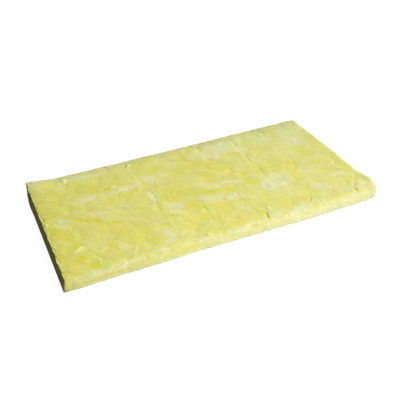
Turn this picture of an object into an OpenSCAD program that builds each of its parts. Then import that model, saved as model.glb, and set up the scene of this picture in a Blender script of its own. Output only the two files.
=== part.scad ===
// Glass wool insulation slab: one mat of resin-bonded wool, lying on its flat underside.
// The oven belt presses lines across its top face, saws trim the underside, a guillotine
// cuts one end, and the other end and its corners are worn round.
// Origin: middle of the underside. +X runs along the slab to the worn end, +Y runs across
// it to the far side, and +Z points up.

/* [Slab] */
// Length of the slab
slab_length = 1200; // [600:10:2400]
// Width of the slab
slab_width = 600; // [300:10:1200]
// Thickness of the slab
slab_thickness = 50; // [30:1:150]

/* [Edges] */
// Rounding of the top edge along the near long side
near_edge_rounding = 14; // [4:1:24]
// Rounding of the top edge along the far long side
far_edge_rounding = 10; // [4:1:24]
// Rounding of the top edge at the worn end
worn_end_rounding = 12; // [4:1:24]
// Corner radius in plan where the near side meets the worn end
near_corner_radius = 12; // [6:1:60]
// Corner radius in plan where the far side meets the worn end
far_corner_radius = 10; // [6:1:60]
// How far the top of the cut end leans back from its foot
cut_end_lean = 7; // [0:0.5:15]

/* [Soft shape] */
// How far the near side draws in between the crests of its wave
near_side_wave = 6; // [0:0.5:12]
// How far the far side draws in between the crests of its wave
far_side_wave = 3; // [0:0.5:12]
// How far each long side bulges at half height
side_bulge = 2; // [0:0.25:4]
// Depth of the long swells of the top face
top_swell = 3; // [0:0.25:6]
// How far the far edge sags where the far side draws in
far_edge_sag = 4; // [0:0.25:8]
// How far the torn near corner droops
corner_droop = 2.5; // [0:0.25:10]
// How far the droop reaches from that corner
corner_droop_reach = 140; // [60:5:250]

/* [Press lines] */
// Distance from one press line to the next
press_line_pitch = 150; // [90:1:300]
// Distance from the cut end to the first press line
first_press_line = 110; // [30:1:250]
// Length before the rounded worn corners that carries no press line
plain_worn_length = 46; // [15:1:250]
// Width of a press line
press_line_width = 18; // [6:0.5:26]
// Depth of a press line where the belt pressed hardest
press_line_depth = 0.75; // [0:0.25:5]

/* [Hidden] */
wool_yellow = [0.87, 0.84, 0.47];

// Overrun of the wool past the planes that trim it
trim_overrun = 6;
// The largest share of the thickness that one rounded edge may take
rounding_limit_share = 0.3;
// Turns that each side's wave makes along the length, and the turn at which it starts
near_wave_turns = [1.45, -0.09];
far_wave_turns = [1.18, 0];
// Turns that each swell makes along the length and across the width
swell_turns = [[1.5, 0.4], [0.7, -0.9]];
// How sharply the sag gathers at the far edge
sag_power = 4;
// Turns that a press line's strength makes across the width, and its shift from line to line
press_strength_turns = 0.8;
press_strength_shift = 0.37;
// The least strength of a press line, as a share of its depth
press_strength_floor_share = 0.1;

// Steps of the loft: along each span, in each rounding, up each wall and across the top
plain_steps = 4;
press_line_steps = 6;
corner_steps = 8;
rounding_steps = 5;
wall_steps = 3;
top_steps = 16;

half_length = slab_length / 2;
half_width = slab_width / 2;
rounding_limit = slab_thickness * rounding_limit_share;
near_r = min(near_edge_rounding, rounding_limit);
far_r = min(far_edge_rounding, rounding_limit);
end_r = min(worn_end_rounding, rounding_limit);
// Length at the worn end in which the corners and the end's top edge turn round
turn_zone = max(near_corner_radius, far_corner_radius, end_r);
press_line_room = slab_length - first_press_line - plain_worn_length - turn_zone;
press_line_count = floor(press_line_room / press_line_pitch) + 1;

// How far an arc of this radius lies inside its tangent, at a distance from the arc's end
function arc_inset(distance, radius) =
    distance >= radius ? 0 : radius - sqrt(radius * radius - pow(radius - distance, 2));

function length_share(x) = x / slab_length + 1 / 2;
function width_share(y) = y / slab_width + 1 / 2;
function press_line_x(i) = first_press_line + i * press_line_pitch - half_length;
function even_span(from, to, steps) = [for (k = [0 : steps - 1]) from + (to - from) * k / steps];

// A side's wave, 0 at its crests and 1 where it draws in furthest
function side_wave(x, turns) = (1 - cos(360 * (turns[0] * length_share(x) + turns[1]))) / 2;
function near_side_y(x) =
    near_side_wave * side_wave(x, near_wave_turns) - half_width
    + arc_inset(half_length - x, near_corner_radius);
function far_side_y(x) =
    half_width - far_side_wave * side_wave(x, far_wave_turns)
    - arc_inset(half_length - x, far_corner_radius);
function bulge_inset(z) = side_bulge * pow(2 * z / slab_thickness - 1, 2);

// What lowers the top face below the full thickness, each at a place (x, y)
function swell_angle(turns, x, y) = 360 * (turns[0] * length_share(x) + turns[1] * width_share(y));
function swell_dip(x, y) =
    top_swell * (2 - sin(swell_angle(swell_turns[0], x, y)) - cos(swell_angle(swell_turns[1], x, y))) / 4;
function sag_dip(x, y) =
    far_edge_sag * side_wave(x, far_wave_turns) * pow(max(0, width_share(y)), sag_power);
function droop_dip(x, y) =
    corner_droop * pow(max(0, 1 - norm([half_length - x, half_width + y]) / corner_droop_reach), 2);
function press_strength(i, y) =
    let (wave = (1 + sin(360 * (press_strength_turns * width_share(y) + press_strength_shift * i))) / 2)
    press_strength_floor_share + (1 - press_strength_floor_share) * wave;
function press_groove(offset) =
    abs(offset) >= press_line_width / 2 ? 0 : pow(cos(180 * offset / press_line_width), 2);
function press_dip(x, y) =
    let (i = round((x - press_line_x(0)) / press_line_pitch))
    i < 0 || i >= press_line_count ? 0
        : press_line_depth * press_groove(x - press_line_x(i)) * press_strength(i, y);
function top_z(x, y) =
    slab_thickness - swell_dip(x, y) - sag_dip(x, y) - droop_dip(x, y) - press_dip(x, y)
    - arc_inset(half_length - x, end_r);

// Places along X of the loft's sections: closer across each press line and round the worn end
stations = [
    each even_span(-half_length - trim_overrun, press_line_x(0) - press_line_width / 2, plain_steps),
    for (i = [0 : 1 : press_line_count - 1])
        let (line_start = press_line_x(i) - press_line_width / 2)
        let (line_end = line_start + press_line_width)
        let (next = i < press_line_count - 1 ? line_start + press_line_pitch : half_length - turn_zone)
        each concat(even_span(line_start, line_end, press_line_steps), even_span(line_end, next, plain_steps)),
    for (k = [corner_steps : -1 : 0]) half_length - turn_zone * (1 - cos(90 * k / corner_steps))
];

// One long side of a section, from below the underside up its wall and round its top edge.
// inward is 1 for the near side, whose wool lies towards +Y, and -1 for the far side.
function side_profile(x, side_y, r, inward) =
    let (edge_z = top_z(x, side_y + inward * r))
    let (wall_top = edge_z - r)
    concat(
        [for (k = [0 : wall_steps - 1])
            let (z = (wall_top + trim_overrun) * k / wall_steps - trim_overrun)
            [x, side_y + inward * bulge_inset(z), z]],
        [for (k = [0 : rounding_steps])
            let (turn = 90 * k / rounding_steps)
            let (z = wall_top + r * sin(turn))
            [x, side_y + inward * (r * (1 - cos(turn)) + bulge_inset(z) * cos(turn)), z]]);

// A closed section across the slab: near side, top face, far side
function section(x) =
    let (near_y = near_side_y(x))
    let (far_y = far_side_y(x))
    let (top_from = near_y + near_r)
    let (top_to = far_y - far_r)
    let (far_profile = side_profile(x, far_y, far_r, -1))
    concat(
        side_profile(x, near_y, near_r, 1),
        [for (k = [1 : top_steps - 1])
            let (y = top_from + (top_to - top_from) * k / top_steps)
            [x, y, top_z(x, y)]],
        [for (k = [len(far_profile) - 1 : -1 : 0]) far_profile[k]]);

// A skin over a row of closed sections that have equal counts of points, with flat ends
module loft(sections) {
    count = len(sections[0]);
    last = (len(sections) - 1) * count;
    skin = [
        for (s = [0 : len(sections) - 2], p = [0 : count - 1])
            let (a = s * count + p)
            let (b = s * count + (p + 1) % count)
            each [[a, b, b + count], [a, b + count, a + count]]
    ];
    start_cap = [[for (p = [count - 1 : -1 : 0]) p]];
    end_cap = [[for (p = [0 : count - 1]) last + p]];
    polyhedron(points = [for (s = sections) each s], faces = concat(skin, start_cap, end_cap));
}

// Room that the saws and the guillotine leave: the underside and the leaning cut end are its faces
module trimmed_room() {
    room_end = half_length + trim_overrun;
    room_top = slab_thickness + trim_overrun;
    lean_to_room_top = cut_end_lean * room_top / slab_thickness;
    side_view = [
        [-half_length, 0],
        [room_end, 0],
        [room_end, room_top],
        [lean_to_room_top - half_length, room_top]
    ];
    rotate([90, 0, 0])
        linear_extrude(slab_width + 2 * trim_overrun, center = true)
            polygon(side_view);
}

module wool_slab() {
    color(wool_yellow)
        intersection() {
            loft([for (x = stations) section(x)]);
            trimmed_room();
        }
}

wool_slab();
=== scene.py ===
import math
from functools import reduce
import bpy
import numpy as np
from mathutils import Matrix, Vector


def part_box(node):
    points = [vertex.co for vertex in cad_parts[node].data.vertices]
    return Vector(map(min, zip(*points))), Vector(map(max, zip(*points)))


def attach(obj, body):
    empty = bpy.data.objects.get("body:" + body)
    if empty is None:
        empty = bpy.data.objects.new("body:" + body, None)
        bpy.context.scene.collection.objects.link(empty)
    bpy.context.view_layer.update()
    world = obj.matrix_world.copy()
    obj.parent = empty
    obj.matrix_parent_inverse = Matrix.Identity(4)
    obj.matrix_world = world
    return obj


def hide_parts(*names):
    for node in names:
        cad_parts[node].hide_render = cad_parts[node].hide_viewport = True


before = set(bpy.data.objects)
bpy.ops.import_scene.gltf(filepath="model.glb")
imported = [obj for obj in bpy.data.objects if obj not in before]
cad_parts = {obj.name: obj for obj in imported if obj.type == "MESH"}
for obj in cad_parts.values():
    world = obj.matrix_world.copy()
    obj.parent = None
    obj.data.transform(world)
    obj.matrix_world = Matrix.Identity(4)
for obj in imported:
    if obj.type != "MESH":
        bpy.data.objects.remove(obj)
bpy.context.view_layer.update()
scene = bpy.context.scene
scene.view_settings.view_transform = "Standard"
slabLow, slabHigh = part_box("wool_slab")
slabSize = slabHigh - slabLow
print("frame loaded, slab size", [round(v, 4) for v in slabSize])


# helpers for the scene and for node trees

def addObject(name, data):
    piece = bpy.data.objects.new(name, data)
    scene.collection.objects.link(piece)
    return piece


def emptyTree(owner):  # a cleared node tree of a material or a world
    owner.use_nodes = True
    owner.node_tree.nodes.clear()
    return owner.node_tree


def plug(value, socket):
    if isinstance(value, bpy.types.NodeSocket):
        socket.id_data.links.new(value, socket)
    else:
        socket.default_value = value


def addNode(kind, inputs=None, tree=None, **settings):  # in the tree of its inputs, if no tree is given
    inputs = inputs or {}
    tree = tree or next(value.id_data for value in inputs.values() if isinstance(value, bpy.types.NodeSocket))
    node = tree.nodes.new(kind)
    for key, value in settings.items():
        setattr(node, key, value)
    for key, value in inputs.items():
        plug(value, node.inputs[key])
    return node


def calc(operation, a, b=0.0, clamp=False):
    return addNode("ShaderNodeMath", {0: a, 1: b}, operation=operation, use_clamp=clamp).outputs[0]


def times(*values):
    return reduce(lambda a, b: calc("MULTIPLY", a, b), values)


def total(values):
    return reduce(lambda a, b: calc("ADD", a, b), values)


def calcVector(operation, a, b):
    return addNode("ShaderNodeVectorMath", {0: a, 1: b}, operation=operation).outputs["Vector"]


def scaled(vector, scale):
    return addNode("ShaderNodeVectorMath", {0: vector, "Scale": scale}, operation="SCALE").outputs[0]


def fade(value, start, end, low=0.0, high=1.0):  # smooth step from low to high
    inputs = {0: value, 1: start, 2: end, 3: low, 4: high}
    return addNode("ShaderNodeMapRange", inputs, interpolation_type="SMOOTHSTEP").outputs[0]


def noiseAt(place, stretch, detail, roughness, shift, output=0):  # stretch is in turns per metre
    spot = calcVector("MULTIPLY", place, stretch)
    spot = calcVector("ADD", spot, (shift, shift * 1.7, shift * 0.6))
    inputs = {"Vector": spot, "Scale": 1.0, "Detail": detail, "Roughness": roughness}
    return addNode("ShaderNodeTexNoise", inputs).outputs[output]


def centred(value, height):  # turns 0..1 into -height..height
    return times(calc("SUBTRACT", value, 0.5), times(height, 2.0))


def weighed(fields, weights):  # sum of named fields about 0.5, each times its weight
    return total([times(calc("SUBTRACT", fields[name], 0.5), weight) for name, weight in weights.items()])


def turned(place, angle):  # a place turned about the upright axis
    inputs = {"Vector": place, "Axis": (0, 0, 1), "Angle": angle}
    return addNode("ShaderNodeVectorRotate", inputs).outputs[0]


def warped(place, stretch, reach, shift):  # pushes a place about, so patterns swirl
    push = noiseAt(place, stretch, 2.0, 0.5, shift, 1)
    push = calcVector("SUBTRACT", push, (0.5, 0.5, 0.5))
    return calcVector("ADD", place, scaled(push, reach))


def edgeBand(side):  # 1 where a share is half, 0 where it is none or all
    return times(side, calc("SUBTRACT", 1.0, side), 4.0)


def fieldOf(tree, name, kind="FLOAT"):  # a stored field in a geometry tree
    return addNode("GeometryNodeInputNamedAttribute", {"Name": name}, tree, data_type=kind).outputs[0]


socketKinds = {
    int: "NodeSocketInt",
    float: "NodeSocketFloat",
    bpy.types.Object: "NodeSocketObject",
    bpy.types.Material: "NodeSocketMaterial",
}


def newGeometryTree(name, values):  # one named input to each value
    tree = bpy.data.node_groups.new(name, "GeometryNodeTree")
    tree.interface.new_socket("Geometry", in_out="INPUT", socket_type="NodeSocketGeometry")
    for label, value in values.items():
        tree.interface.new_socket(label, in_out="INPUT", socket_type=socketKinds[type(value)])
    tree.interface.new_socket("Geometry", in_out="OUTPUT", socket_type="NodeSocketGeometry")
    return tree, tree.nodes.new("NodeGroupInput").outputs


def endTree(geometry, material):
    real = addNode("GeometryNodeRealizeInstances", {0: geometry})
    smooth = addNode("GeometryNodeSetShadeSmooth", {"Geometry": real.outputs[0]})
    painted = addNode("GeometryNodeSetMaterial", {"Geometry": smooth.outputs[0], "Material": material})
    addNode("NodeGroupOutput", {0: painted.outputs[0]})


def runTree(piece, tree, values):  # evaluates the tree once and leaves a plain mesh
    modifier = piece.modifiers.new("build", "NODES")
    modifier.node_group = tree
    for label, value in values.items():
        modifier[tree.interface.items_tree[label].identifier] = value
    bpy.context.view_layer.update()
    graph = bpy.context.evaluated_depsgraph_get()
    built = piece.evaluated_get(graph)
    mesh = bpy.data.meshes.new_from_object(built, preserve_all_data_layers=True, depsgraph=graph)
    piece.modifiers.remove(modifier)
    old = piece.data
    piece.data = mesh
    bpy.data.meshes.remove(old)
    mesh.name = piece.name


# camera, at the photograph's viewing angle

cameraView = {
    "azimuth": -23.013,
    "elevation": 35.126,
    "roll": -1.777,
    "distance": 2.378,
    "target": (-0.0056, -0.0222, 0.0),
    "lens": 56.415,
    "sensor": 36.0,
    "clipEnd": 50.0,
}


def makeCamera(view):
    turn, climb, roll = (math.radians(view[key]) for key in ("azimuth", "elevation", "roll"))
    back = Vector((math.sin(turn) * math.cos(climb), -math.cos(turn) * math.cos(climb), math.sin(climb)))
    right = Vector((0, 0, 1)).cross(back).normalized()
    up = back.cross(right)
    rightRolled = right * math.cos(roll) + up * math.sin(roll)
    upRolled = up * math.cos(roll) - right * math.sin(roll)
    data = bpy.data.cameras.new("camera")
    data.lens = view["lens"]
    data.sensor_width = view["sensor"]
    data.clip_end = view["clipEnd"]
    camera = addObject("camera", data)
    place = Matrix((rightRolled, upRolled, back)).transposed().to_4x4()
    place.translation = Vector(view["target"]) + back * view["distance"]
    camera.matrix_world = place
    scene.camera = camera


makeCamera(cameraView)
print("camera placed")


# light, floor and backdrop

studio = {
    "keyFrom": (1.33, -2.94, 1.71),
    "keySize": 1.5,
    "keyPower": 86.0,
    "skyToward": (0.845, 0.361, -0.393),  # open side of the studio
    "skyFade": (-0.30, 0.31),
    "skyLevel": 2.31,
    "floorBounce": 0.62,
    "darkFloor": 0.05,  # bounce past the cut end
    "darkFloorFade": (-0.74, -0.52),
    "floorGlow": 0.95,
    "floorDiffuse": 0.12,
    "floorReach": 8.0,
    "floorDrop": 0.0005,  # gap between floor and slab
}
white = (1, 1, 1, 1)


def seenRays(tree):  # camera, glossy and transmission rays see the white backdrop
    path = addNode("ShaderNodeLightPath", tree=tree)
    some = calc("MAXIMUM", path.outputs["Is Camera Ray"], path.outputs["Is Glossy Ray"])
    return calc("MAXIMUM", some, path.outputs["Is Transmission Ray"])


def makeKey(look):
    lamp = bpy.data.lights.new("key", "AREA")
    lamp.shape = "DISK"
    lamp.size = look["keySize"]
    lamp.energy = look["keyPower"]
    key = addObject("key", lamp)
    key.location = look["keyFrom"]
    key.rotation_euler = Vector(look["keyFrom"]).to_track_quat("Z", "Y").to_euler()


def makeBackdrop(look):
    scene.world = bpy.data.worlds.new("backdrop")
    tree = emptyTree(scene.world)
    along = addNode("ShaderNodeTexCoord", tree=tree).outputs["Generated"]
    toward = addNode("ShaderNodeVectorMath", {0: along, 1: look["skyToward"]}, operation="DOT_PRODUCT")
    level = fade(toward.outputs["Value"], *look["skyFade"], 0.0, look["skyLevel"])
    sky = addNode("ShaderNodeBackground", {0: white, 1: level})
    seen = addNode("ShaderNodeBackground", {0: white, 1: 1.0}, tree)
    both = addNode("ShaderNodeMixShader", {0: seenRays(tree), 1: sky.outputs[0], 2: seen.outputs[0]})
    addNode("ShaderNodeOutputWorld", {0: both.outputs[0]})


def makeFloor(look):
    reach = look["floorReach"]
    corners = [(-reach, -reach, 0), (reach, -reach, 0), (reach, reach, 0), (-reach, reach, 0)]
    mesh = bpy.data.meshes.new("floor")
    mesh.from_pydata(corners, [], [(0, 1, 2, 3)])
    floor = addObject("floor", mesh)
    floor.location.z = -look["floorDrop"]
    paint = bpy.data.materials.new("paleFloor")
    tree = emptyTree(paint)
    glow = addNode("ShaderNodeEmission", {0: white, 1: look["floorGlow"]}, tree)
    matt = addNode("ShaderNodeBsdfDiffuse", {0: (look["floorDiffuse"],) * 3 + (1,)}, tree)
    shown = addNode("ShaderNodeAddShader", {0: glow.outputs[0], 1: matt.outputs[0]})
    spot = addNode("ShaderNodeSeparateXYZ", {0: addNode("ShaderNodeTexCoord", tree=tree).outputs["Object"]})
    pale = fade(spot.outputs["X"], *look["darkFloorFade"], look["darkFloor"], look["floorBounce"])
    bounce = addNode("ShaderNodeBsdfDiffuse", {0: pale})
    both = addNode("ShaderNodeMixShader", {0: seenRays(tree), 1: bounce.outputs[0], 2: shown.outputs[0]})
    addNode("ShaderNodeOutputMaterial", {0: both.outputs[0]})
    mesh.materials.append(paint)


makeKey(studio)
makeBackdrop(studio)
makeFloor(studio)
print("studio lit")


# wool patterns of the finish and the relief

woolPattern = {
    "turn": 0.3,
    # swirls: turns per metre, reach in metres, shift
    "wideSwirl": ((5, 6, 6), 0.11, 1.3),
    "narrowSwirl": ((22, 30, 30), 0.022, 4.4),
    "fineSwirl": ((60, 70, 70), 0.008, 2.0),
    "flockSwirl": ((60, 80, 80), 0.008, 7.7),
    "foldSwirl": ((70, 90, 90), 0.006, 5.9),
    # wisps: turns per metre, detail, roughness, shift
    "wisps": {"broad": ((10, 13.5, 13.5), 2.0, 0.5, 5.0), "middle": ((30, 36, 36), 2.0, 0.5, 9.0)},
    "fineWisps": ((95, 160, 160), 3.0, 0.6, 3.0),
    "flocks": [((15, 20, 20), 3.1), ((38, 50, 50), 6.4)],  # pressed flocks: patches per metre, shift
    "flockSmoothness": 0.25,
    # overlapping layers of the mat: angle, turns per metre, layers to a turn, shift
    "folds": [(0.25, (5, 15, 15), 3.5, 41.0), (-0.95, (7, 18, 18), 3.5, 47.0), (0.75, (16, 40, 40), 2.5, 53.0)],
    "foldPatches": (10, 13, 13),  # turns per metre of where layers show
    "foldFade": (0.45, 0.62),
}


def patternFields(place, still, swirling, look):  # a swirling place, and fields of all patterns by name
    swirl = turned(place, look["turn"])
    swirl = warped(warped(swirl, *look["wideSwirl"]), *look["narrowSwirl"])
    fields = {name: noiseAt(place, *pattern) for name, pattern in still.items()}
    for name, pattern in (look["wisps"] | swirling).items():
        fields[name] = noiseAt(swirl, *pattern)
    fields["fine"] = noiseAt(warped(swirl, *look["fineSwirl"]), *look["fineWisps"])
    return swirl, fields


def flocksAt(swirl, look):  # large and small flocks: three random values and a dome for each
    ragged = warped(swirl, *look["flockSwirl"])
    splitter = "ShaderNodeSeparateColor" if swirl.id_data.type == "SHADER" else "FunctionNodeSeparateColor"
    found = []
    for size, shift in look["flocks"]:
        spot = calcVector("ADD", calcVector("MULTIPLY", ragged, size), (shift, shift, shift))
        inputs = {"Vector": spot, "Scale": 1.0, "Smoothness": look["flockSmoothness"]}
        cells = addNode("ShaderNodeTexVoronoi", inputs, feature="SMOOTH_F1")
        values = addNode(splitter, {0: cells.outputs["Color"]})
        away = cells.outputs["Distance"]
        found.append((*values.outputs[:3], calc("SUBTRACT", 1.0, times(away, away))))
    return found


def foldsAt(swirl, look):  # torn layers: the climb of each and how much of it shows
    ragged = warped(swirl, *look["foldSwirl"])
    found = []
    for angle, stretch, layers, shift in look["folds"]:
        field = noiseAt(turned(ragged, angle), stretch, 1.0, 0.4, shift)
        climb = calc("FRACT", times(field, layers))
        patches = noiseAt(swirl, look["foldPatches"], 1.0, 0.5, shift + 3.0)
        found.append((climb, fade(patches, *look["foldFade"])))
    return found


def foldHeights(folds):  # height of each layer about 0, where it shows
    return [times(calc("SUBTRACT", climb, 0.5), shown) for climb, shown in folds]


# wool finish

woolFinish = {
    "tones": [  # colours of the wool from deep to pale, and the tone where each sits
        (-1.00, (0.698, 0.662, 0.062, 1)),
        (-0.50, (0.712, 0.676, 0.122, 1)),
        (0.00, (0.722, 0.688, 0.185, 1)),
        (0.45, (0.738, 0.706, 0.268, 1)),
        (1.00, (0.752, 0.722, 0.375, 1)),
    ],
    "tints": {  # multiply the colour
        "warm": (1.022, 0.987, 0.890, 1),
        "green": (0.970, 1.000, 0.978, 1),
        "far": (0.950, 1.000, 1.030, 1),
    },
    "colours": {  # are laid over it
        "rosy": (0.775, 0.715, 0.390, 1),
        "resin": (0.745, 0.655, 0.120, 1),
        "cutFace": (0.755, 0.740, 0.410, 1),
        "paleFoot": (0.745, 0.762, 0.510, 1),
        # painted shade, for creases, pits, fold gaps and dark specks
        "shade": (0.430, 0.405, 0.075, 1),
        # painted shade of the cut end
        "cutShade": (0.400, 0.410, 0.070, 1),
        # painted shade along the far edge
        "edgeShade": (0.470, 0.455, 0.130, 1),
        # grey olive: painted shade on the far strip, the worn end's rim and the foot, and the grey patches
        "greyOlive": (0.560, 0.570, 0.270, 1),
        # pale flecks and strands, and painted highlight on lips and specks
        "fleckAndHighlight": (0.885, 0.862, 0.430, 1),
    },
    # patterns that lie still or swirl: turns per metre, detail, roughness, shift
    "stillPatterns": {
        "grain": ((210, 260, 260), 3.0, 0.65, 2.0),
        "layers": ((8, 8, 120), 4.0, 0.62, 3.3),
        "specks": ((90, 90, 90), 3.0, 0.6, 15.0),
    },
    "swirlingPatterns": {
        "sparks": ((110, 190, 190), 2.0, 0.6, 12.0),
        "hue": ((13, 21, 21), 2.0, 0.5, 21.0),
        "dust": ((80, 90, 90), 2.0, 0.6, 27.0),
    },
    # streaks at an angle to the rest: angle, turns per metre, shift
    "crossWisps": {"wideCross": (0.9, (20, 60, 60), 31.0), "fineCross": (-0.75, (34, 120, 120), 37.0)},
    "strandAngles": (0.2, 1.15, 2.2),
    "strandStretch": (45, 420, 300),
    "strandWidth": 0.14,
    # fields that the slab's mesh carries
    "marks": (
        "sideFace", "cutEnd", "paleWisp", "deepWool", "resinSpot", "dustyPatch",
        "farRim", "wornRim", "creaseMark", "lipMark",
    ),
    # new fields in turn: a dictionary mixes, a tuple fades by from, to, low and high, a list adds up products
    "recipes": {
        "tearing": {"broad": 0.8, "middle": 1.1, "fine": 0.06, "largeA": 0.5, "smallA": 0.1},
        "toning": {"broad": 1.5, "middle": 0.44, "fine": 0.01, "wideCross": 0.28, "fineCross": 0.02,
                   "largeA": 0.22, "smallA": 0.04},
        "layering": {"layers": 1.0},
        "torn": ("tearing", -0.5, 0.4, 0.30, 0.78),
        "deep": [(-0.245,), ("torn", -0.7)],
        "deepCutEnd": ("X", -0.60, -0.42, -0.35, 0.0),
        "shortOfFarSide": ("Y", 0.17, 0.25, 1.0, 0.0),
        "paleWornHalf": ("X", -0.10, 0.35, 0.0, 0.2),
        "tone": [
            (-0.06,), ("paleWisp", "torn"), ("deepWool", "deep"), ("toning",),
            ("foldA", 0.38), ("foldB", 0.38), ("foldC", 0.08),
            ("layering", "sideFace", 3.0), ("deepCutEnd", "shortOfFarSide"), ("paleWornHalf",),
        ],
        "tinting": {"hue": 2.0, "largeB": 0.8, "smallB": 0.4, "middle": 0.4},
        "greenFarSide": ("Y", 0.12, 0.29, 0.0, -0.4), "greenWornEnd": ("X", 0.10, 0.50, 0.0, -0.2),
        "warmth": [("tinting",), ("greenFarSide",), ("greenWornEnd",)],
        "warmer": ("warmth", 0.0, 0.6), "greener": ("warmth", 0.0, -0.6),
        "farBand": ("Y", 0.13, 0.26), "wornHalf": ("X", 0.0, 0.2),
        "paleTone": ("tone", 0.35, 1.0),
        "rosyHue": ("hue", 0.45, 0.65, 0.0, 0.7),
        "patchyResin": ("middle", 0.3, 0.7, 0.55, 0.95),
        "paleSide": ("X", -0.62, 0.55, 0.22, 0.82),
        "paleLayers": ("layers", 0.3, 0.6, 0.5, 1.0),
        "footUp": ("Z", 0.005, 0.020, 0.45, 0.0), "footAlong": ("X", -0.58, -0.38, 0.4, 1.0),
        # fine brightness noise, painted shade and light of the relief
        "lighting": {"sparks": 0.03, "fine": 0.02, "smallC": 0.04, "largeC": 0.06},
        "crumbling": {"sparks": 0.20, "fine": 0.10},
        # painted shade on the side faces towards the worn end
        "dimSide": ("X", 0.15, 0.50, 0.0, -0.05),
        # painted shade towards the cut end and towards the worn end
        "paintedShadeAtCutEnd": ("X", -0.60, 0.05, 0.955, 1.0), "paintedShadeAtWornEnd": ("X", 0.20, 0.58, 1.0, 0.945),
        # brightness that scales the colour, with painted shade on the side faces and towards both ends
        "light": [
            ("lighting",), ("layering", "sideFace", 0.22), ("dimSide", "sideFace"), ("paleWisp", "crumbling"),
            ("layering", "cutEnd", 2.4), ("paintedShadeAtCutEnd", "paintedShadeAtWornEnd"),
        ],
        "top": [(1.0,), ("sideFace", -1.0)],
        # bands of painted shade: the far strip and the worn end's rim
        "farRimBand": ("Y", 0.245, 0.296), "wornEndRimShadeBand": ("X", 0.583, 0.597),
        "patchyRim": ("middle", 0.35, 0.6, 0.35, 0.75),
        "patchyGrey": ("dust", 0.40, 0.60, 0.15, 1.0),
        "frayed": ("specks", 0.35, 0.62, 0.15, 0.85),
        # where a painted contact shadow runs along the foot
        "footLineUp": ("Z", 0.001, 0.006, 0.8, 0.0), "footLineAlong": ("X", -0.20, 0.10, 1.0, 0.3),
        "breaking": {"fine": 1.0, "smallA": 0.5},
        "broken": ("breaking", -0.06, 0.10, 0.1, 1.2),
        # painted shade in the gap below each fold's torn edge, painted highlight on its lip
        **{"gap" + name: ("climb" + name, 0.0, 0.10, 0.8, 0.0) for name in "ABC"},
        **{"lip" + name: ("climb" + name, 0.80, 0.97) for name in "ABC"},
        # dark specks of painted shade, as of small pits; pale specks, partly the wool's own and partly painted
        # highlight
        "darkSparks": ("sparks", 0.23, 0.30, 0.45, 0.0), "paleSparks": ("sparks", 0.69, 0.76, 0.0, 0.6),
        "matting": {"mat": 0.45, "grain": 0.8, "fine": 1.6, "sparks": 1.2, "fineCross": 1.6},
        "relief": [("matting",), ("foldA", 0.8), ("foldB", 0.8), ("foldC", 0.8)],
        "roughness": ("fine", 0.2, 0.8, 0.86, 0.98),
    },
    # tints and colours in turn, and the product that is the share of each
    "underlays": [
        ("warm", "warmer"), ("green", "greener"), ("far", "farBand", "wornHalf"),
        ("rosy", "paleTone", "rosyHue"),
        ("resin", "resinSpot", "patchyResin"),
        ("cutFace", "sideFace", "paleSide", "paleLayers"),
        ("paleFoot", "sideFace", "footUp", "footAlong"),
    ],
    "overlays": [
        # painted shade on the far strip and the worn end's rim
        ("greyOlive", "rim", "patchyRim"),
        # grey olive patches
        ("greyOlive", "dustyPatch", "patchyGrey"),
        # patches of painted shade along the far edge
        ("edgeShade", "farRim", "frayed"),
        # painted shade on the worn end's rim
        ("greyOlive", "wornRim", 0.6),
        # painted contact shadow along the foot of the side faces
        ("greyOlive", "sideFace", "footLineUp", "frayed", "footLineAlong"),
        # painted shade on the cut end
        ("cutShade", "cutEnd", 0.32),
        # fold gaps get painted shade, fold lips a painted highlight
        *[(colour, part + name, "shown" + name, "top", "broken", strength)
          for name, strength in (("A", 0.12), ("B", 0.12), ("C", 0.04))
          for colour, part in (("shade", "gap"), ("fleckAndHighlight", "lip"))],
        # painted shade on dark specks, and in creases and pits
        ("shade", "darkSparks"), ("shade", "creaseMark", 0.45),
        # painted highlight on torn lips; pale specks, partly painted highlight; pale strands
        ("fleckAndHighlight", "lipMark", 0.55), ("fleckAndHighlight", "paleSparks"), ("fleckAndHighlight", "mat", 0.03),
    ],
    "reliefHeight": 0.0012,
    "reliefStrength": 0.16,
    "specular": 0.12,
    "sheen": 0.08,
    "sheenRoughness": 0.6,
    "sheenTint": (1.0, 0.97, 0.72, 1),
}


def mixColour(share, a, b, blend="MIX"):
    return addNode("ShaderNodeMix", {0: share, 6: a, 7: b}, data_type="RGBA", blend_type=blend).outputs[2]


def attributeOf(tree, name):  # a stored field in a shader tree
    return addNode("ShaderNodeAttribute", tree=tree, attribute_name=name).outputs["Fac"]


def product(fields, factors):  # names of fields and numbers, multiplied
    return times(*[fields[factor] if isinstance(factor, str) else factor for factor in factors])


def overlaid(colour, fields, layers, look):
    for name, *factors in layers:
        share = product(fields, factors)
        if name in look["tints"]:
            colour = mixColour(share, colour, look["tints"][name], "MULTIPLY")
        else:
            colour = mixColour(share, colour, look["colours"][name])
    return colour


def toneColours(tone, stops):  # a smooth ramp through the wool's colours
    ramp = addNode("ShaderNodeValToRGB", {0: fade(tone, -1.0, 1.0)})
    ramp.color_ramp.interpolation = "LINEAR"
    while len(ramp.color_ramp.elements) < len(stops):
        ramp.color_ramp.elements.new(0.5)
    for element, (spot, colour) in zip(ramp.color_ramp.elements, stops):
        share = (spot + 1) / 2
        element.position = share * share * (3 - 2 * share)  # undoes the smooth step of fade
        element.color = colour
    return ramp.outputs[0]


def strandMat(swirl, look):  # thin strands that cross each other
    mat = 0.0
    for number, angle in enumerate(look["strandAngles"]):
        lines = noiseAt(turned(swirl, angle), look["strandStretch"], 2.0, 0.6, 4.0 * number)
        ridge = calc("ABSOLUTE", calc("SUBTRACT", lines, 0.5))
        mat = calc("MAXIMUM", mat, fade(ridge, 0.0, look["strandWidth"], 1.0, 0.0))
    return mat


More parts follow.
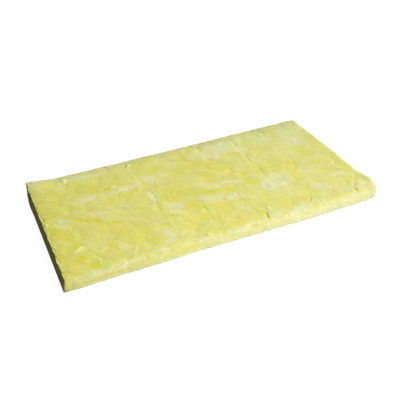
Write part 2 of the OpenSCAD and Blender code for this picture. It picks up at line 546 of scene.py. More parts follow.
def woolFields(tree, look):  # all that the finish is mixed from, by name
    place = addNode("ShaderNodeTexCoord", tree=tree).outputs["Object"]
    axes = addNode("ShaderNodeSeparateXYZ", {0: place})
    swirl, fields = patternFields(place, look["stillPatterns"], look["swirlingPatterns"], woolPattern)
    fields.update({axis: axes.outputs[axis] for axis in "XYZ"})
    for name, (angle, stretch, shift) in look["crossWisps"].items():
        fields[name] = noiseAt(turned(swirl, angle), stretch, 3.0, 0.6, shift)
    for size, flock in zip(("large", "small"), flocksAt(swirl, woolPattern)):
        fields.update({size + name: value for name, value in zip("ABC", flock)})
    folds = foldsAt(swirl, woolPattern)
    for name, (climb, shown), height in zip("ABC", folds, foldHeights(folds)):
        fields.update({"climb" + name: climb, "shown" + name: shown, "fold" + name: height})
    fields.update({name: attributeOf(tree, name) for name in look["marks"]})
    fields["mat"] = strandMat(swirl, look)
    for name, recipe in look["recipes"].items():
        if isinstance(recipe, dict):
            fields[name] = weighed(fields, recipe)
        elif isinstance(recipe, tuple):
            fields[name] = fade(fields[recipe[0]], *recipe[1:])
        else:
            fields[name] = total([product(fields, factors) for factors in recipe])
    # where the far strip and the worn end's rim get painted shade
    fields["rim"] = calc("MAXIMUM", times(fields["farRimBand"], fields["top"]), fields["wornEndRimShadeBand"])
    return fields


def makeWool(look):
    wool = bpy.data.materials.new("glassWool")
    fields = woolFields(emptyTree(wool), look)
    colour = toneColours(fields["tone"], look["tones"])
    colour = overlaid(colour, fields, look["underlays"], look)
    colour = overlaid(scaled(colour, fields["light"]), fields, look["overlays"], look)
    bump = addNode("ShaderNodeBump", {
        "Strength": look["reliefStrength"], "Distance": look["reliefHeight"], "Height": fields["relief"],
    })
    shader = addNode("ShaderNodeBsdfPrincipled", {
        "Base Color": colour, "Roughness": fields["roughness"], "Normal": bump.outputs[0],
        "Specular IOR Level": look["specular"], "Sheen Weight": look["sheen"],
        "Sheen Roughness": look["sheenRoughness"], "Sheen Tint": look["sheenTint"],
    })
    addNode("ShaderNodeOutputMaterial", {0: shader.outputs[0]})
    return wool


glassWool = makeWool(woolFinish)
print("wool finish made")


# wool slab: a fine grid, laid on the CAD form and lifted into matted wool

slabShape = {
    "cells": (384, 192, 16),
    "undersideCell": 8,  # fine cells to one underside cell
    "softening": 9,  # rounds of smoothing of the top face
    "heights": {  # of the relief, in metres
        "pillow": 0.0016, "lump": 0.0005, "mat": 0.00015, "flake": 0.0006, "flock": 0.0014, "fold": 0.0006,
        "layer": 0.0009, "ragged": 0.0024, "arris": 0.0035,
    },
    "flakeShares": (0.5, 0.5),  # broad and middle wisps
    "flockShares": (0.6, 0.15),  # large and small flocks
    "foldShares": (1.2, 0.5, 0.7),
    "cutEndShare": 0.35,  # how much of the relief the cut end keeps
    "restingHeight": 0.006,  # the relief fades out below this
    # patterns of the relief, given as those of the finish
    "stillPatterns": {
        "pillow": ((8, 11, 9), 2.0, 0.5, 0.4),
        "layer": ((10, 10, 230), 3.0, 0.6, 3.3),
        "ragged": ((80, 80, 60), 3.0, 0.6, 7.9),
        "arris": ((13, 13, 8), 2.0, 0.5, 11.7),
    },
    "swirlingPatterns": {
        "lump": ((26, 34, 34), 3.0, 0.55, 2.2),
        "mat": ((70, 120, 120), 3.0, 0.6, 6.1),
    },
    # paths on the top face in mm, each as half width, strength, then x and y of each point
    "paleWisp": [
        (17, 0.8, -465, 15, -465, 60, -445, 95, -400, 100), (15, 0.8, -400, 100, -330, 110, -250, 112, -200, 118),
        (19, 0.9, -145, 140, -148, 105), (15, 0.9, -522, 12, -536, -30), (13, 0.6, -500, 72, -495, 42),
        (24, 0.55, -398, -8, -340, -42), (15, 0.4, -305, 20, -280, 0), (12, 0.85, -190, 50, -184, 10, -186, -28),
        (20, 0.85, -150, -58, -112, -88, -142, -112), (11, 0.6, -125, 4, -98, -14), (20, 0.75, -25, -68, -12, -112),
        (20, 0.85, -430, 268, -335, 262, -275, 272), (14, 0.5, -565, 225, -470, 216),
        (20, 0.45, -560, 272, -540, 235), (17, 0.8, -370, -218, -348, -250), (8, 0.8, -385, -280, -335, -264),
        (22, 0.75, -222, -190, -185, -235, -200, -262), (14, 0.5, -140, -158, -118, -166),
        (13, 0.5, -92, -122, -84, -142), (12, 0.5, -560, -258, -520, -266), (13, 0.4, -470, -146, -448, -152),
        (10, 0.4, -24, 228, -36, 158), (15, 0.5, -64, 252, -58, 244),
        (34, 0.75, 68, 218, 140, 228, 200, 214, 240, 230), (16, 0.75, 240, 240, 330, 250, 400, 232, 500, 212),
        (26, 0.65, 100, 196, 150, 176, 190, 182), (40, 0.45, 330, 175, 420, 190, 480, 150),
        (26, 0.35, 330, 120, 400, 80), (14, 0.8, 256, 190, 265, 150), (15, 0.65, 262, 86, 310, 34),
        (11, 0.5, 210, 40, 224, 10), (12, 1, 146, 56), (17, 0.85, 0, 10, 30, -16, 110, -20, 156, -36),
        (19, 0.85, 0, -88, 40, -106, 120, -128),
        (17, 1.1, 222, -112, 288, -66, 338, -86, 308, -114, 240, -122, 270, -94), (12, 0.5, 176, -140, 150, -146),
        (19, 0.8, 400, -190, 430, -212, 408, -250), (14, 0.8, 310, -268, 342, -280), (8, 0.8, 520, -165, 545, -148),
        (13, 0.6, 100, -208, 116, -222), (13, 0.45, 362, 30, 402, 8), (14, 0.7, 560, -245, 556, -284),
        (11, 0.6, -300, -297, 0, -294, 150, -292), (18, 0.65, 150, -292, 320, -284, 450, -278),
        (28, 0.7, 430, -280, 596, -262), (9, 0.7, -585, -299, -480, -297, -330, -299),
        (7, 0.8, -420, -294, -300, -288, -180, -296), (9, 1.1, 162, -248, 176, -243),
    ],
    "deepWool": [
        (10, 0.95, -490, 6, -455, -20, -415, -40, -380, -75, -345, -86), (11, 0.6, -480, 64, -474, 26),
        (34, 0.5, -430, 172, -352, 160, -330, 142), (22, 0.4, -440, 232, -432, 182), (11, 0.7, -480, 285),
        (11, 1, -186, -108, -170, -126, -150, -131), (11, 0.6, -176, -82, -165, -30),
        (10, 1, -55, -110, -36, -140, -30, -156), (10, 0.6, -82, -80, -64, -112), (10, 0.7, -60, -176),
        (15, 1.2, -510, -215), (14, 1.1, -492, -268, -478, -286), (9, 0.7, -480, -198, -455, -252),
        (18, 0.6, -532, -150, -500, -146), (15, 0.6, -562, -48, -540, -92), (18, 0.35, -265, 76, -330, 50),
        (11, 0.5, -60, 100, -70, 78), (18, 0.7, -10, 152, -22, 118), (14, 0.6, -110, 182, -132, 168),
        (20, 0.8, 30, 140, 60, 165, 90, 132, 110, 90, 136, 60), (22, 0.4, 20, 92, 62, 60),
        (16, 0.6, 60, 268, 100, 282), (11, 0.85, 20, -48, 50, -60, 102, -76),
        (15, 0.7, 150, 20, 180, -12, 186, -60, 205, -72), (16, 0.5, 320, 22, 352, -10),
        (13, 0.65, 402, -18, 386, -60, 370, -100, 340, -150), (10, 0.8, 366, -160, 364, -204),
        (20, 0.5, 470, 42, 502, 30), (14, 0.95, 582, 142, 574, 118), (14, 0.7, 590, 2, 580, -22),
        (14, 0.9, 580, -208, 590, -232), (11, 0.6, 520, -222, 510, -200), (13, 0.5, 430, -279, 470, -275),
        (16, 0.5, 220, -262, 242, -250), (10, 0.6, 440, -184, 452, -202), (13, 0.5, 200, -166, 188, -160),
        (7, 1.1, 519, -260, 513, -294), (6, 1.1, 144, -256, 141, -296),
    ],
    "resinSpot": [
        (11, 1, 576, 90, 582, 78), (27, 0.95, -390, -106, -345, -132), (14, 0.4, -378, -21, -333, -43),
        (16, 0.6, -232, -78), (18, 0.5, -280, -127), (14, 0.5, -117, -2, -70, -3), (30, 0.9, 30, -258, 52, -240),
        (18, 0.45, -28, -202, -20, -232), (20, 0.6, -290, 150, -250, 140), (20, 0.6, 34, -152),
        (10, 0.6, 590, -116),
    ],
    # grey olive patches along the far edge, the cut edge and the worn end
    "dustyPatch": [
        (17, 0.75, 578, -196, 588, -246), (12, 0.4, 540, -130, 566, -150), (12, 0.6, -500, 284, -400, 282),
        (11, 0.6, -590, 262, -560, 270), (11, 0.4, -180, 288, -110, 284), (12, 0.45, 80, 284, 160, 270, 230, 280),
        (20, 0.45, 360, 262, 470, 272, 560, 262), (8, 0.4, -596, 60, -594, -60, -596, -160),
    ],
    # press creases and tears in mm, each as half width, depth, then points; they get painted shade
    "creases": [
        (2.4, 1.4, 260, 272, 261, 200), (2.4, 1.7, 260, 124, 257, 58), (2.4, 1.3, 262, 20, 260, -46),
        (2.6, 1.5, 111, 276, 108, 236), (2.6, 0.7, 108, -82, 105, -165), (2.4, 1.4, 412, 266, 411, 232),
        (2.6, 0.8, 408, 132, 405, 96), (2.4, 0.9, -186, 82, -172, 20, -182, -34, -190, -114),
        (2.6, 1, -300, 216, -290, 188), (2.8, 1.3, -36, -118, -34, -158),
        (2.8, 0.9, -485, -183, -462, -228, -441, -270), (3, 0.8, -489, 9, -465, -12, -440, -35),
        (4, 0.8, 571, -209, 579, -258), (3.2, 1.3, -346, 128, -325, 143), (3, 0.9, 242, 262, 208, 260),
        (3, 0.8, 103, 78, 123, 54), (3, 0.9, 521, -221, 499, -240), (3, 1, 369, -164, 357, -202),
        (3.2, 1.1, -494, -38, -504, -54), (2.6, 0.8, -287, 93, -300, 63), (3, 0.7, 42, -59, 3, -47),
        (3.2, 1.1, 576, -180, 558, -208, 541, -233, 520, -262), (3, 1.6, 526, 277, 514, 268),
        (3, 1.8, 576, 272, 562, 258),
    ],
    "pits": [
        (4.2, 2.7, 144, -254, 142, -276, 141, -296), (3, 2.2, 320, -265, 340, -252),
        (4.4, 2.6, 515, -264, 513, -293), (3, 1.8, -597, 232, -594, 222), (3.6, 2.4, -589, 158, -582, 152),
        (3.4, 2.2, -590, 56, -582, 50), (3, 1.6, -597, -60), (3, 1.6, -597, -170, -594, -182),
        (3.6, 2.4, 566, -34, 560, -42), (4, 2.2, 551, -87), (4, 2.2, -326, 140), (3.4, 1.8, -500, -150),
        (3.4, 2.4, -204, 268),
    ],
    "tufts": [
        (9, -2.4, 163, -247, 173, -244), (8, -3, -458, 264), (7, -3, -196, 262), (9, -3, -90, -286),
        (6, -2.6, 544, -80), (7, -3, -582, 10), (5, -2, -498, -164, -530, -182), (16, -3, 552, -252),
    ],
    # torn lips that catch the light and get a painted highlight, in mm, each as half width, height, then points
    "lips": [
        (5.5, 1.1, -490, -164, -536, -185), (4.6, 0.6, -389, 105, -461, 80), (4.6, 0.6, 98, -18, 17, -33),
        (4.6, 0.5, 488, 193, 413, 219), (4.6, 0.7, -464, -242, -468, -278), (4.6, 0.7, 108, 42, 155, 54),
        (4.6, 0.8, -331, -226, -348, -280), (4.6, 0.6, -473, -230, -513, -248), (4.6, 0.5, 250, 230, 208, 225),
        (4.6, 0.8, -499, -3, -481, -27), (4.6, 0.6, 315, -124, 264, -127), (4.6, 0.6, 96, -121, 48, -116),
        (4.6, 0.6, -193, 46, -199, -3), (5.5, 0.8, 562, -241, 543, -257), (4.6, 0.8, 515, -87, 554, -75),
        (4.6, 1.1, -206, 247, -193, 257), (4.6, 0.9, -448, 264, -468, 248), (4.6, 0.6, -522, 217, -556, 216),
        (5.5, 0.9, 160, -246, 172, -242), (6, 1.6, -584, 12, -578, 7), (3.6, 1, -585, -33, -586, -58),
        (4, 0.9, -578, -68, -575, -75), (3.6, 0.8, -586, -215, -585, -226), (3.6, 0.7, -587, 138, -586, 120),
    ],
    "rimNicks": (34, 14, 61),  # nicks along the far edge, along the cut edge, seed
    "fullCrease": 0.0025,  # depth in metres of a crease at its darkest painted shade
    "fullLip": 0.0015,  # height of a lip at its palest painted highlight
    "wobbleSize": (14, 14),
    "creaseWobble": 2.4,  # how far marks wander, in mm
    "pitWobble": 3.5,
    # slack of the soft edges in metres, and the middle and reach in mm of what lies in one place
    "tipLift": (-0.003, 0.007, 0.0137),  # flare of the far corner of the cut end
    "tipReach": 125.0,
    "tipHollow": (0.004, 300, 38),  # the cut end draws in under that corner
    "farFoot": (0.0015, 220, 45),  # and its foot stands out beside the hollow
    "endLean": 0.003,  # the top of the cut end leans back further
    "cutCorner": 0.0035,  # the near corner of the cut end is worn back
    "cutPress": 0.002,  # the guillotine pressed down the edge of the cut end
    "cutPressReach": 45.0,
    "sideWaves": [(1.45, -0.09), (1.18, 0.0)],  # turns and start of the waves of the next two
    "nearFoot": (0.0045, 0.0075),  # spread of the near foot: least, and more by its wave
    "farLip": (0.0022, 0.0022),  # rise and spread of the far edge in the same way
    "farRise": (0.0016, 470, 130),  # the far edge stands up further near the worn end
    "footShifts": [(0.0042, 300, 150), (-0.0034, -100, 90), (0.0015, -540, 45), (-0.0015, -420, 40)],
    "frayedFoot": 0.0022,  # the near foot wanders in and out
    "frayedEnd": 0.0020,  # and so does the worn end
    "frayedSize": (13, 8),
    "flapBulge": (0.0205, -233, 43),  # the torn flap stands out of the worn end
    "flapLevel": 0.66,  # middle of the flap as a share of the height
    "flapFoot": 0.009,  # the foot draws in under the flap
    "flapFootWay": (-1.0, 0.35, 0.0),
    "endBelly": (0.0045, -20, 170),  # the middle of the worn end bulges
    "farDraw": 0.004,  # the top of the worn end draws in towards the far side
}


def boxGrid(cells, coarse):  # closed box, with larger faces on the underside
    nx, ny, nz = cells
    index = -np.ones((nx + 1, ny + 1, nz + 1), int)
    spots = []
    faces = []

    def number(i, j, k):
        if index[i, j, k] < 0:
            index[i, j, k] = len(spots)
            spots.append((i / nx, j / ny, k / nz))
        return int(index[i, j, k])

    def addFace(*corners):
        faces.append([number(*corner) for corner in corners])

    for i in range(nx):
        for j in range(ny):
            addFace((i, j, nz), (i + 1, j, nz), (i + 1, j + 1, nz), (i, j + 1, nz))
    for k in range(nz):
        for i in range(nx):
            addFace((i, 0, k), (i + 1, 0, k), (i + 1, 0, k + 1), (i, 0, k + 1))
            addFace((i + 1, ny, k), (i, ny, k), (i, ny, k + 1), (i + 1, ny, k + 1))
        for j in range(ny):
            addFace((0, j + 1, k), (0, j, k), (0, j, k + 1), (0, j + 1, k + 1))
            addFace((nx, j, k), (nx, j + 1, k), (nx, j + 1, k + 1), (nx, j, k + 1))
    for i in range(0, nx, coarse):
        for j in range(0, ny, coarse):
            ring = [(i, j + s) for s in range(coarse if i == 0 else 1)]
            ring += [(i + s, j + coarse) for s in range(coarse if j + coarse == ny else 1)]
            ring += [(i + coarse, j + coarse - s) for s in range(coarse if i + coarse == nx else 1)]
            ring += [(i + coarse - s, j) for s in range(coarse if j == 0 else 1)]
            addFace(*[(a, b, 0) for a, b in ring])
    return np.array(spots), faces


def rise(value, start, end):  # straight climb from 0 to 1
    return np.clip((value - start) / (end - start), 0, 1)


def swell(value, height, middle, reach):  # soft hump
    return height * np.exp(-((value - middle) / reach) ** 2)


def pathDistance(spots, path):  # distance in mm to a path, and how far along it that is
    path = np.reshape(path, (-1, 2)).astype(float)
    if len(path) == 1:
        return np.linalg.norm(spots - path[0], axis=1), np.full(len(spots), 0.5)
    lengths = [np.linalg.norm(b - a) for a, b in zip(path, path[1:])]
    best = np.full(len(spots), 1e9)
    along = np.zeros(len(spots))
    before = 0.0
    for a, b, length in zip(path, path[1:], lengths):
        t = np.clip((spots - a) @ (b - a) / length ** 2, 0, 1)
        distance = np.linalg.norm(spots - a - t[:, None] * (b - a), axis=1)
        closer = distance < best
        best = np.where(closer, distance, best)
        along = np.where(closer, (before + t * length) / sum(lengths), along)
        before += length
    return best, along


def valueNoise(spots, stretch, seed):  # smooth random field about 0, from a fixed seed
    table = np.random.default_rng(seed).uniform(-1, 1, (64, 64))
    place = spots / np.array(stretch, float) + 1000.0
    cell = np.floor(place).astype(int)
    t = place - cell
    t = t * t * (3 - 2 * t)
    corner = [[table[(cell[:, 0] + a) % 64, (cell[:, 1] + b) % 64] for b in (0, 1)] for a in (0, 1)]
    low = corner[0][0] * (1 - t[:, 1]) + corner[0][1] * t[:, 1]
    high = corner[1][0] * (1 - t[:, 1]) + corner[1][1] * t[:, 1]
    return low * (1 - t[:, 0]) + high * t[:, 0]


def feathered(spots):  # pushes spots along the fibres, so marks get wispy ends
    along = 11 * valueNoise(spots, (60, 16), 3) + 3 * valueNoise(spots, (22, 9), 4)
    across = 6 * valueNoise(spots, (44, 34), 5) + 2 * valueNoise(spots, (15, 13), 6)
    return spots + np.stack([along, across], 1)


def strokeField(spots, strokes):  # strongest soft stroke at each spot
    field = np.zeros(len(spots))
    blur = 0.85 + 0.7 * valueNoise(spots, (55, 45), 9)  # borders are crisp here and soft there
    for width, strength, *path in strokes:
        distance = pathDistance(spots, path)[0]
        share = np.clip(0.5 + (width - distance) / (width * blur), 0, 1)
        field = np.maximum(field, strength * share * share * (3 - 2 * share))
    return field


def grooveField(spots, grooves):  # depth in metres, tapering to the ends of each groove
    field = np.zeros(len(spots))
    for width, depth, *path in grooves:
        distance, along = pathDistance(spots, path)
        taper = np.clip(np.minimum(along, 1 - along) * 6, 0.2, 1) if len(path) > 2 else 1.0
        field += taper * swell(distance, 0.001 * depth, 0, width)
    return field


def drawNicks(far, cut, seed):  # short nicks, some of them raised as frayed bits
    draw = np.random.default_rng(seed)
    nicks = []
    for number in range(far + cut):
        length, width, depth = draw.uniform((3, 2.6, 1.2), (15, 4.0, 2.6))
        along, inset = draw.uniform((-0.97, 0.0), (0.97, 1.0))
        onFar = number < far
        start = (600 * along, 297 - 13 * inset) if onFar else (-594 + 8 * inset, 290 * along)
        step = (length, -0.25 * length) if onFar else (0.3 * length, length)
        depth = depth if draw.uniform() < 0.7 else -depth
        nicks.append((width, depth, *start, start[0] + step[0], start[1] + step[1]))
    return nicks


def slackShape(plan, shares, look):  # how the soft edges stand off the CAD form, in metres
    x, y = plan[:, 0], plan[:, 1]
    height = shares[:, 2]
    level = 50 * height  # height in mm
    waves = [(1 - np.cos(2 * np.pi * (turns * shares[:, 0] + start))) / 2 for turns, start in look["sideWaves"]]
    nearReach, farReach = [look[key][0] + look[key][1] * wave for key, wave in zip(("nearFoot", "farLip"), waves)]
    pull = np.zeros((len(plan), 3))

    # cut end
    atCut = rise(x, -540, -600)
    tip = np.clip(1 - np.hypot(x + 600, 1.5 * (y - 300)) / look["tipReach"], 0, 1) ** 1.2
    pull += (tip * height ** 3)[:, None] * np.array(look["tipLift"])
    pull[:, 0] += swell(y, *look["tipHollow"]) * atCut * (1 - height ** 3)
    pull[:, 0] += look["endLean"] * rise(x, -560, -600) * height ** 2
    pull[:, 0] -= swell(y, *look["farFoot"]) * atCut * (1 - height)
    pull[:, 1] += look["cutCorner"] * rise(x, -588, -600) ** 2 * rise(y, -286, -300)

    # near foot
    foot = (1 - height) * rise(y, -260, -300)
    pull[:, 1] -= nearReach * foot
    for shift in look["footShifts"]:
        pull[:, 1] -= swell(x, *shift) * foot
    frayed = valueNoise(np.stack([x, level], 1), look["frayedSize"], 17)
    pull[:, 1] -= look["frayedFoot"] * frayed * (1 - height) ** 4 * rise(y, -280, -300)

    # far edge
    lip = farReach * rise(y, 255, 300) ** 2 * height * rise(x, -560, -480)
    pull[:, 1] += lip
    pull[:, 2] += lip + swell(x, *look["farRise"]) * rise(y, 225, 300) ** 2 * height

    # worn end
    frayed = valueNoise(np.stack([y, level], 1), look["frayedSize"], 18)
    pull[:, 0] += look["frayedEnd"] * frayed * rise(x, 585, 600)
    flap = swell(y, *look["flapBulge"]) * (1 - (height / look["flapLevel"] - 1) ** 2)
    belly = swell(y, *look["endBelly"])
    drawn = look["farDraw"] * rise(y, 220, 295) * height
    pull[:, 0] += (flap + belly - drawn) * rise(x, 540, 600)
    tucked = look["flapFoot"] * rise(y, -225, -300) * rise(x, 530, 600) * (1 - height) ** 1.5
    pull += tucked[:, None] * np.array(look["flapFootWay"])
    return pull


def slabFields(plan, shares, look):  # what each vertex carries
    x, y = plan[:, 0], plan[:, 1]
    along, across, height = shares.T
    atSide = (across < 0.001) | (across > 0.999)
    onTop = (height > 0.999) | ((height > 0.5) & atSide)
    wobble = np.stack([valueNoise(plan, look["wobbleSize"], seed) for seed in (7, 8)], 1)
    feather = feathered(plan)
    pits = look["pits"] + look["tufts"] + drawNicks(*look["rimNicks"])
    cuts = grooveField(plan + look["creaseWobble"] * wobble, look["creases"])
    cuts += grooveField(plan + look["pitWobble"] * wobble, pits)
    lips = grooveField(0.5 * (plan + feather) + look["creaseWobble"] * wobble, look["lips"])
    fromCut = np.clip(1 - (x + 593) / look["cutPressReach"], 0, 1)
    pressed = look["cutPress"] * fromCut ** 2 * rise(height, 0.5, 1.0)
    patchy = np.clip(0.5 + 1.1 * valueNoise(plan, (75, 75), 14), 0, 1)
    farEdge = y + 5 * valueNoise(plan, (26, 26), 13)
    strokes = ("paleWisp", "deepWool", "resinSpot", "dustyPatch")
    return {
        **{name: strokeField(feather, look[name]) * onTop for name in strokes},
        # patches of painted shade along the far edge
        "farRim": rise(farEdge, 285, 299) * rise(height, 0.75, 0.98) * patchy,
        # painted shade on the worn end's rim
        "wornRim": rise(x, 584, 597) * rise(height, 0.5, 0.9),
        # painted shade on the cut end, fading out near its top edge
        "cutEnd": (along < 0.001) * rise(height, 1.0, 0.93),
        "frayedRim": np.maximum(rise(x, -586, -595), rise(y, 284, 296)) * (height > 0.9),
        "groove": (cuts - lips) * onTop + pressed,
        # painted shade in creases, pits and nicks
        "creaseMark": np.clip(cuts * onTop / look["fullCrease"], 0, 1),
        # painted highlight on torn lips
        "lipMark": np.clip(lips * onTop / look["fullLip"], 0, 1),
    }


def reliefFields(place, look):  # patterns of the relief by name
    swirl, fields = patternFields(place, look["stillPatterns"], look["swirlingPatterns"], woolPattern)
    parts = {
        "flake": [fields["broad"], fields["middle"]],
        "flock": [flock[3] for flock in flocksAt(swirl, woolPattern)],
        "fold": foldHeights(foldsAt(swirl, woolPattern)),
    }
    for name, found in parts.items():
        fields[name] = total([times(part, share) for part, share in zip(found, look[name + "Shares"])])
    fields["fold"] = calc("ADD", times(fields["fold"], 0.5), 0.5)  # about 0.5, as the rest are
    return fields


def matWool(slab, look):  # lays the grid on the CAD form, softens it and lifts the relief
    values = {"form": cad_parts["wool_slab"], "wool": glassWool, **look["heights"]}
    values.update({key: look[key] for key in ("softening", "cutEndShare", "restingHeight")})
    tree, given = newGeometryTree("mattedWool", values)
    form = addNode("GeometryNodeObjectInfo", {"Object": given["form"]})
    nearest = addNode("GeometryNodeProximity", {0: form.outputs["Geometry"]}, target_element="FACES")
    laid = addNode("GeometryNodeSetPosition", {"Geometry": given["Geometry"], "Position": nearest.outputs[0]})

    place = addNode("GeometryNodeInputPosition", tree=tree).outputs[0]
    normal = addNode("GeometryNodeInputNormal", tree=tree).outputs[0]
    axes = addNode("ShaderNodeSeparateXYZ", {0: place})
    facing = addNode("ShaderNodeSeparateXYZ", {0: normal})
    upright = calc("ABSOLUTE", facing.outputs["Z"])
    marked = addNode("GeometryNodeStoreNamedAttribute", {
        "Geometry": laid.outputs[0], "Name": "sideFace", "Value": fade(upright, 0.25, 0.9, 1.0, 0.0),
    })
    side = fieldOf(tree, "sideFace")
    softer = {0: place, 1: given["softening"], 2: fade(side, 0.0, 0.3, 1.0, 0.0)}
    softer = addNode("GeometryNodeBlurAttribute", softer, data_type="FLOAT_VECTOR").outputs[0]
    soft = addNode("GeometryNodeSetPosition", {"Geometry": marked.outputs[0], "Position": softer})

    fields = reliefFields(place, look)
    band = edgeBand(side)
    where = {"layer": side, "ragged": band, "arris": band}  # the rest is everywhere
    lift = total([times(centred(fields[name], given[name]), where.get(name, 1.0)) for name in look["heights"]])
    free = fade(axes.outputs["Z"], 0.0, given["restingHeight"])
    cutEnd = fade(facing.outputs["X"], -0.95, -0.5, given["cutEndShare"], 1.0)
    raised = scaled(normal, times(lift, free, cutEnd))
    down = addNode("ShaderNodeCombineXYZ", {"Z": times(fieldOf(tree, "groove"), -1.0)}).outputs[0]
    moved = calcVector("ADD", calcVector("ADD", raised, down), fieldOf(tree, "pull", "FLOAT_VECTOR"))
    lifted = addNode("GeometryNodeSetPosition", {"Geometry": soft.outputs[0], "Offset": moved})
    endTree(lifted.outputs[0], given["wool"])
    runTree(slab, tree, values)


def makeSlab(look):
    shares, faces = boxGrid(look["cells"], look["undersideCell"])
    spots = np.array(slabLow) + shares * np.array(slabSize)
    plan = spots[:, :2] * 1000  # in mm
    mesh = bpy.data.meshes.new("wool_slab_body")
    mesh.from_pydata(spots.tolist(), [], faces)
    for name, field in slabFields(plan, shares, look).items():
        mesh.attributes.new(name, "FLOAT", "POINT").data.foreach_set("value", field.astype(np.float32))
    pull = slackShape(plan, shares, look).astype(np.float32)
    mesh.attributes.new("pull", "FLOAT_VECTOR", "POINT").data.foreach_set("vector", pull.ravel())
    slab = addObject("wool_slab_body", mesh)
    matWool(slab, look)
    return slab


woolSlab = makeSlab(slabShape)
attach(woolSlab, "root")
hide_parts("wool_slab")
print("wool slab made, faces", len(woolSlab.data.polygons))


# loose wool that lies on the slab: small flakes and stray fibres

looseFinish = {
    "deep": (0.720, 0.690, 0.200, 1),
    "pale": (0.880, 0.865, 0.480, 1),
    "patches": ((40, 40, 40), 2.0, 0.5, 1.9),  # turns per metre, detail, roughness, shift
    "patchMix": {"patches": 1.2},
    "grain": ((900, 900, 900), 2.0, 0.5, 0.7),
    "grainStrength": 0.4,
    "grainHeight": 0.0003,
    "roughness": 0.88,
    "specular": 0.15,
    "sheen": 0.10,
}
strandShape = {  # the same for flakes and fibres
    "lowest": 0.013,  # none grows below this height
    "topFade": (0.0505, 0.0515),  # and none on the flared tip
    "rimCrowd": 3.0,  # how many more on frayed rims
    "points": 6,
    "arch": ((-0.5, 0.0, -0.02), (0.06, 0.24, 0.20), (0.5, -0.06, -0.02)),  # start, bend and end
    "tipWidth": 0.15,
    "tilts": (-1.0, 0.3),
    "bends": (0.6, 1.5),
}
flakeShape = {
    "density": 240.0,  # to the square metre
    "edgeDensity": 4.0,  # how many more along the edges
    "shortest": 0.004,
    "longest": 0.011,
    "widthShare": 0.24,
    "flatness": 0.55,
    "tilt": 0.14,
    "sides": 5,
    "seed": 11,
}
fibreShape = {
    "density": 600.0,
    "edgeDensity": 3.0,
    "shortest": 0.008,
    "longest": 0.022,
    "widthShare": 0.022,
    "flatness": 0.9,
    "tilt": 0.22,
    "sides": 3,
    "seed": 23,
}


def makeLooseWool(look):
    loose = bpy.data.materials.new("looseWool")
    tree = emptyTree(loose)
    place = addNode("ShaderNodeTexCoord", tree=tree).outputs["Object"]
    patches = {"patches": noiseAt(place, *look["patches"])}
    share = calc("ADD", weighed(patches, look["patchMix"]), attributeOf(tree, "strandTone"), clamp=True)
    bump = addNode("ShaderNodeBump", {
        "Strength": look["grainStrength"], "Distance": look["grainHeight"],
        "Height": noiseAt(place, *look["grain"]),
    })
    shader = addNode("ShaderNodeBsdfPrincipled", {
        "Base Color": mixColour(share, look["deep"], look["pale"]),
        "Roughness": look["roughness"], "Normal": bump.outputs[0],
        "Specular IOR Level": look["specular"], "Sheen Weight": look["sheen"],
    })
    addNode("ShaderNodeOutputMaterial", {0: shader.outputs[0]})
    return loose


def randomValue(low, high, seed):
    inputs = {2: low, 3: high, 8: seed}
    return addNode("FunctionNodeRandomValue", inputs, data_type="FLOAT").outputs[1]


def turnBy(rotation, axis, angle):
    turn = addNode("FunctionNodeAxisAngleToRotation", {0: axis, 1: angle})
    inputs = {0: rotation, 1: turn.outputs[0]}
    return addNode("FunctionNodeRotateRotation", inputs, rotation_space="LOCAL").outputs[0]


def strandRoots(tree, given, form):  # points on the slab, closer along its edges
    skin = addNode("GeometryNodeObjectInfo", {"Object": given["skin"]})
    place = addNode("GeometryNodeInputPosition", tree=tree).outputs[0]
    height = addNode("ShaderNodeSeparateXYZ", {0: place}).outputs["Z"]
    inputs = {0: height, 1: form["lowest"]}
    above = addNode("FunctionNodeCompare", inputs, data_type="FLOAT", operation="GREATER_THAN")
    rim = times(fieldOf(tree, "frayedRim"), form["rimCrowd"])
    band = calc("MAXIMUM", edgeBand(fieldOf(tree, "sideFace")), rim)
    crowd = calc("ADD", times(band, given["edgeDensity"]), 1.0)
    crowd = times(crowd, fade(height, *form["topFade"], 1.0, 0.0))
    return addNode("GeometryNodeDistributePointsOnFaces", {
        "Mesh": skin.outputs["Geometry"], "Selection": above.outputs[0],
        "Density": times(crowd, given["density"]), "Seed": given["seed"],
    })


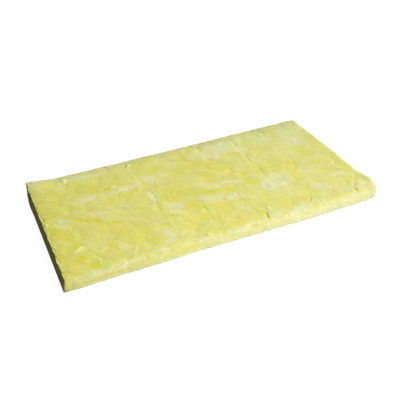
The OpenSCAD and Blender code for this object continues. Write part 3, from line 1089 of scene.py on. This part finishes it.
def oneStrand(tree, given, form):  # a low arch, one unit long, that tapers to both ends
    start, bend, end = form["arch"]
    path = addNode("GeometryNodeCurveQuadraticBezier", {0: form["points"], 1: start, 2: bend, 3: end}, tree)
    along = addNode("GeometryNodeSplineParameter", tree=tree).outputs["Factor"]
    taper = calc("ADD", edgeBand(along), form["tipWidth"])
    taper = times(taper, given["widthShare"])
    ring = addNode("GeometryNodeCurvePrimitiveCircle", {"Resolution": given["sides"]})
    ring.inputs["Radius"].default_value = 0.5
    return addNode("GeometryNodeCurveToMesh", {0: path.outputs[0], 1: ring.outputs[0], 2: taper, 3: True})


def scatterWool(name, look, form):
    values = {"skin": woolSlab, "wool": looseWool, **look}
    tree, given = newGeometryTree(name + "_scatter", values)
    points = strandRoots(tree, given, form)
    strand = oneStrand(tree, given, form)
    seed = given["seed"]
    seeds = [seed] + [calc("ADD", seed, step) for step in (1.0, 2.0, 3.0, 4.0)]
    length = randomValue(given["shortest"], given["longest"], seeds[0])
    spin = randomValue(0.0, 2.0 * math.pi, seeds[1])
    tilt = times(randomValue(*form["tilts"], seeds[2]), given["tilt"])
    rotation = turnBy(points.outputs["Rotation"], (0.0, 0.0, 1.0), spin)
    rotation = turnBy(rotation, (0.0, 1.0, 0.0), tilt)
    bend = times(length, randomValue(*form["bends"], seeds[3]))
    thick = times(length, given["flatness"])
    size = addNode("ShaderNodeCombineXYZ", {0: length, 1: bend, 2: thick})
    laid = addNode("GeometryNodeInstanceOnPoints", {
        "Points": points.outputs["Points"], "Instance": strand.outputs[0],
        "Rotation": rotation, "Scale": size.outputs[0],
    })
    toned = addNode("GeometryNodeStoreNamedAttribute", {
        "Geometry": laid.outputs[0], "Name": "strandTone", "Value": randomValue(0.0, 1.0, seeds[4]),
    }, domain="INSTANCE")
    endTree(toned.outputs[0], given["wool"])
    piece = addObject(name, bpy.data.meshes.new(name))
    runTree(piece, tree, values)
    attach(piece, "root")
    print(name, "made, faces", len(piece.data.polygons))


looseWool = makeLooseWool(looseFinish)
scatterWool("wool_flakes", flakeShape, strandShape)
scatterWool("wool_fibres", fibreShape, strandShape)
